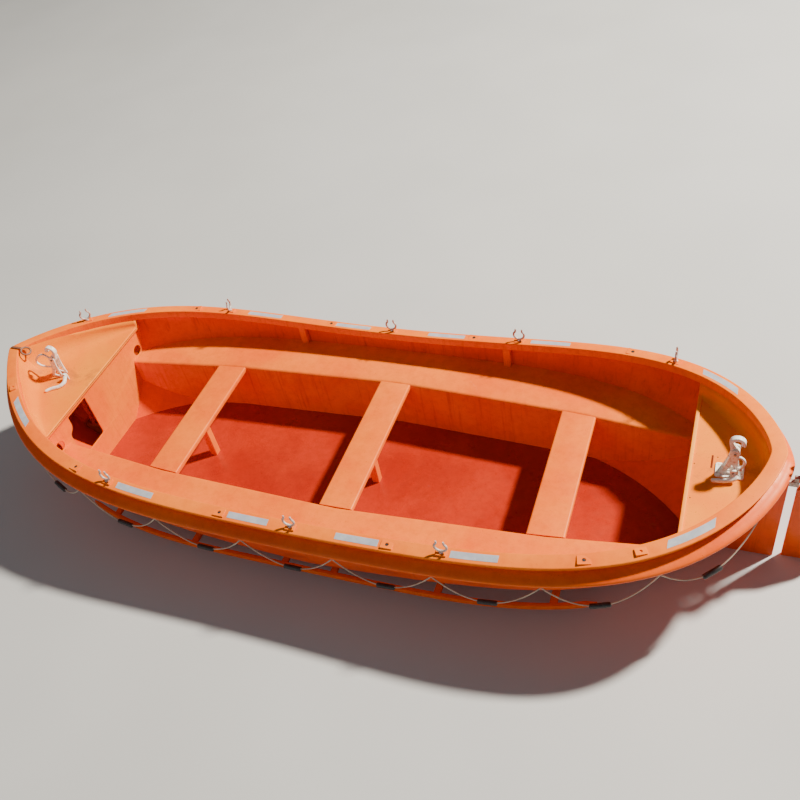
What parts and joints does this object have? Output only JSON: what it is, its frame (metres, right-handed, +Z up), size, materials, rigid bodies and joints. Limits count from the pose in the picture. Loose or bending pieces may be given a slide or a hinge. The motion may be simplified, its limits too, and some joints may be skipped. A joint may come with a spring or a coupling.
{
  "type": "open davit-launched lifeboat",
  "caption": "Open double-ended orange lifeboat with side benches, end decks with release hooks, rubbing strake, grab lines, bilge rails and a hung rudder.",
  "frame": {"origin": "on the waterline, amidships on the centreline", "axes": "+X towards the stern along the keel, +Y to starboard's far side as seen with the bow at -X, +Z up"},
  "size_m": [6.319, 2.188, 1.3193],
  "materials": {
    "hull_orange": "weathered orange gelcoat",
    "deck_orange": "sun-bleached orange gelcoat",
    "floor_red": "dark red-orange, mottled",
    "rudder_orange": "worn orange paint",
    "stay_orange": "orange paint with rust",
    "white_steel": "chipped white paint",
    "worn_steel": "worn galvanised steel with primer",
    "rope": "weathered laid rope"
  },
  "bodies": {
    "boat": {"bench_tank_port_1": "hull_orange", "bench_tank_port_2": "hull_orange", "bench_tank_port_3": "hull_orange", "bench_tank_port_4": "hull_orange", "bench_tank_starboard_1": "hull_orange", "bench_tank_starboard_2": "hull_orange", "bench_tank_starboard_3": "hull_orange", "bench_tank_starboard_4": "hull_orange", "bilge_rail_port": "hull_orange", "bilge_rail_starboard": "hull_orange", "bow_bulkhead": "hull_orange", "bow_deck": "deck_orange", "bow_hook_base": "white_steel", "bow_hook_stay": "stay_orange", "bow_ring": "worn_steel", "crutch_port_2": "worn_steel", "crutch_port_3": "worn_steel", "crutch_port_4": "worn_steel", "crutch_starboard_1": "worn_steel", "crutch_starboard_2": "worn_steel", "crutch_starboard_3": "worn_steel", "crutch_starboard_4": "worn_steel", "crutch_starboard_5": "worn_steel", "floor": "floor_red", "grab_line_port": "rope", "grab_line_starboard": "rope", "gunwale": "hull_orange", "hull_shell": "hull_orange", "keel_and_posts": "hull_orange", "rubbing_strake": "hull_orange", "stern_bulkhead": "hull_orange", "stern_deck": "deck_orange", "stern_hook_base": "white_steel", "stern_hook_stay": "stay_orange", "thwart_1": "hull_orange", "thwart_2": "hull_orange", "thwart_3": "hull_orange"},
    "rudder": {"rudder": "rudder_orange", "rudder_head": "rudder_orange"},
    "bow_hook": {"bow_hook": "white_steel"},
    "stern_hook": {"stern_hook": "white_steel"},
    "bow_release_lever": {"bow_release_lever": "white_steel"},
    "stern_release_lever": {"stern_release_lever": "white_steel"}
  },
  "joints": [
    {"name": "rudder_steer", "type": "hinge", "parent": "boat", "child": "rudder", "pos_m": [3.025, 0, 0.3], "axis": [0, 0, 1], "range_deg": [-35, 35]},
    {"name": "bow_hook_release", "type": "hinge", "parent": "boat", "child": "bow_hook", "pos_m": [-2.5192, 0, 0.9302], "axis": [0, 1, 0], "range_deg": [0, 75]},
    {"name": "stern_hook_release", "type": "hinge", "parent": "boat", "child": "stern_hook", "pos_m": [2.6573, 0, 0.9317], "axis": [0, -1, 0], "range_deg": [0, 75]},
    {"name": "bow_lever_pull", "type": "hinge", "parent": "boat", "child": "bow_release_lever", "pos_m": [-2.44, -0.05, 0.7973], "axis": [0, 1, 0], "range_deg": [0, 100]},
    {"name": "stern_lever_pull", "type": "hinge", "parent": "boat", "child": "stern_release_lever", "pos_m": [2.664, -0.05, 0.7973], "axis": [0, 1, 0], "range_deg": [0, 100]}
  ]
}
